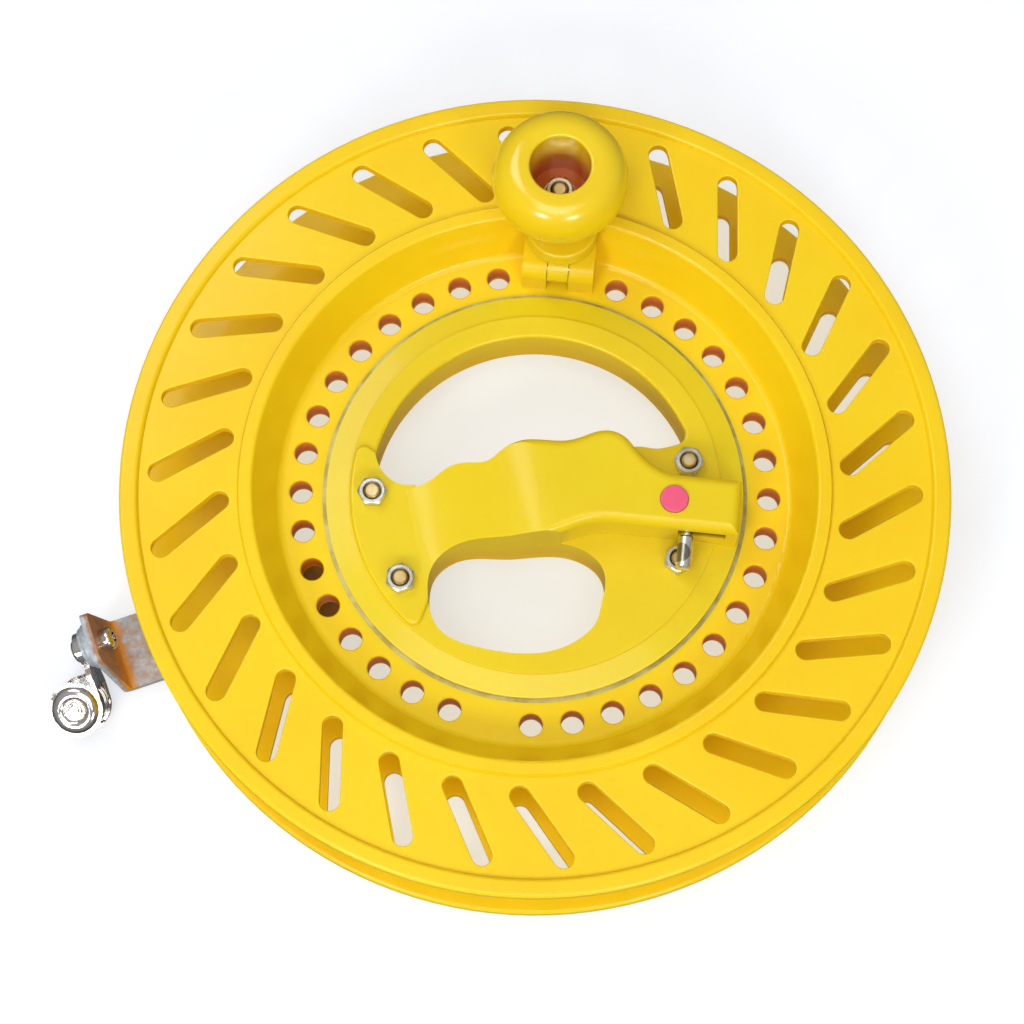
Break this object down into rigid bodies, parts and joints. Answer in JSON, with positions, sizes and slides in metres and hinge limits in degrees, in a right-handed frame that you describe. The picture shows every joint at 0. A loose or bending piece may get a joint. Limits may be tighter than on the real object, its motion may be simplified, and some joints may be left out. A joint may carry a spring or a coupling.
{
  "type": "hand line winding reel",
  "caption": "Hand-held line winding reel: slotted two-flange spool on a ball bearing round a contoured grip, with a fold-in winding knob, slide lock and swivelling pulley line guide",
  "frame": {"origin": "on the spin axis of the spool, half way between its two flanges, at the middle of the winding drum", "axes": "+Z is the spin axis and points out of the front, the side with the winding knob; X runs along the grip, with the lock at its +X end"},
  "size_m": [0.2344, 0.22, 0.0676],
  "materials": {
    "spool_yellow": "moulded ABS, satin gloss",
    "hub_yellow": "moulded ABS, satin gloss",
    "knob_yellow": "moulded ABS, glossy",
    "button_pink": "moulded plastic",
    "bearing_steel": "hardened steel",
    "cage_nylon": "nylon",
    "zinc_steel": "zinc plated",
    "carriage_nylon": "nylon",
    "spring_steel": "spring wire",
    "galvanised_steel": "galvanised, rust at the bend",
    "chrome_steel": "chrome plated"
  },
  "bodies": {
    "hub": {"hub_front_shell": "hub_yellow", "hub_rear_shell": "hub_yellow", "bearing_inner_race": "bearing_steel", "hub_bolts": "zinc_steel", "hub_nuts": "zinc_steel", "hub_washers": "zinc_steel", "guide_arm": "galvanised_steel", "swivel_rivet": "chrome_steel", "swivel_washers": "galvanised_steel", "button_spring": "spring_steel"},
    "spool": {"spool_front_shell": "spool_yellow", "spool_rear_shell": "spool_yellow", "bearing_outer_race": "bearing_steel", "knob_hinge_pin": "zinc_steel"},
    "ball_set": {"bearing_cage": "cage_nylon", "bearing_balls": "bearing_steel"},
    "arm": {"knob_arm": "knob_yellow", "knob_bolt": "zinc_steel", "knob_washer": "zinc_steel", "knob_nut": "zinc_steel"},
    "knob": {"winding_knob": "knob_yellow"},
    "lock": {"lock_carriage": "carriage_nylon", "lock_pin": "zinc_steel"},
    "button": {"lock_button": "button_pink"},
    "fork": {"swivel_fork": "chrome_steel", "pulley_rivet": "chrome_steel"},
    "pulley": {"guide_pulley": "chrome_steel"}
  },
  "joints": [
    {"name": "spool_spin", "type": "hinge", "parent": "hub", "child": "spool", "pos_m": [0, 0, 0], "axis": [0, 0, 1], "continuous": true},
    {"name": "cage_spin", "type": "hinge", "parent": "hub", "child": "ball_set", "pos_m": [0, 0, 0], "axis": [0, 0, 1], "continuous": true},
    {"name": "knob_fold", "type": "hinge", "parent": "spool", "child": "arm", "pos_m": [0, 0.0623, 0.0117], "axis": [1, 0, 0], "range_deg": [0, 84]},
    {"name": "knob_spin", "type": "hinge", "parent": "arm", "child": "knob", "pos_m": [-0.0015, 0.079, 0.03], "axis": [0, 0, 1], "continuous": true},
    {"name": "lock_slide", "type": "slide", "parent": "hub", "child": "lock", "axis": [1, 0, 0], "range_m": [0, 0.0079]},
    {"name": "button_press", "type": "slide", "parent": "hub", "child": "button", "axis": [0, 0, -1], "range_m": [0, 0.0012], "stiffness_N_per_m": 600, "springref_m": -0.001, "deforming": ["button_spring"]},
    {"name": "fork_swivel", "type": "hinge", "parent": "hub", "child": "fork", "pos_m": [-0.11173, -0.04934, -0.0075], "axis": [-0.8754, -0.4082, -0.2588], "continuous": true},
    {"name": "pulley_spin", "type": "hinge", "parent": "fork", "child": "pulley", "pos_m": [-0.1166, -0.06613, -0.01554], "axis": [-0.0759, -0.4128, 0.9077], "continuous": true}
  ],
  "couplings": [
    {"joint": "cage_spin", "follows": "spool_spin", "ratio": 0.5141}
  ]
}
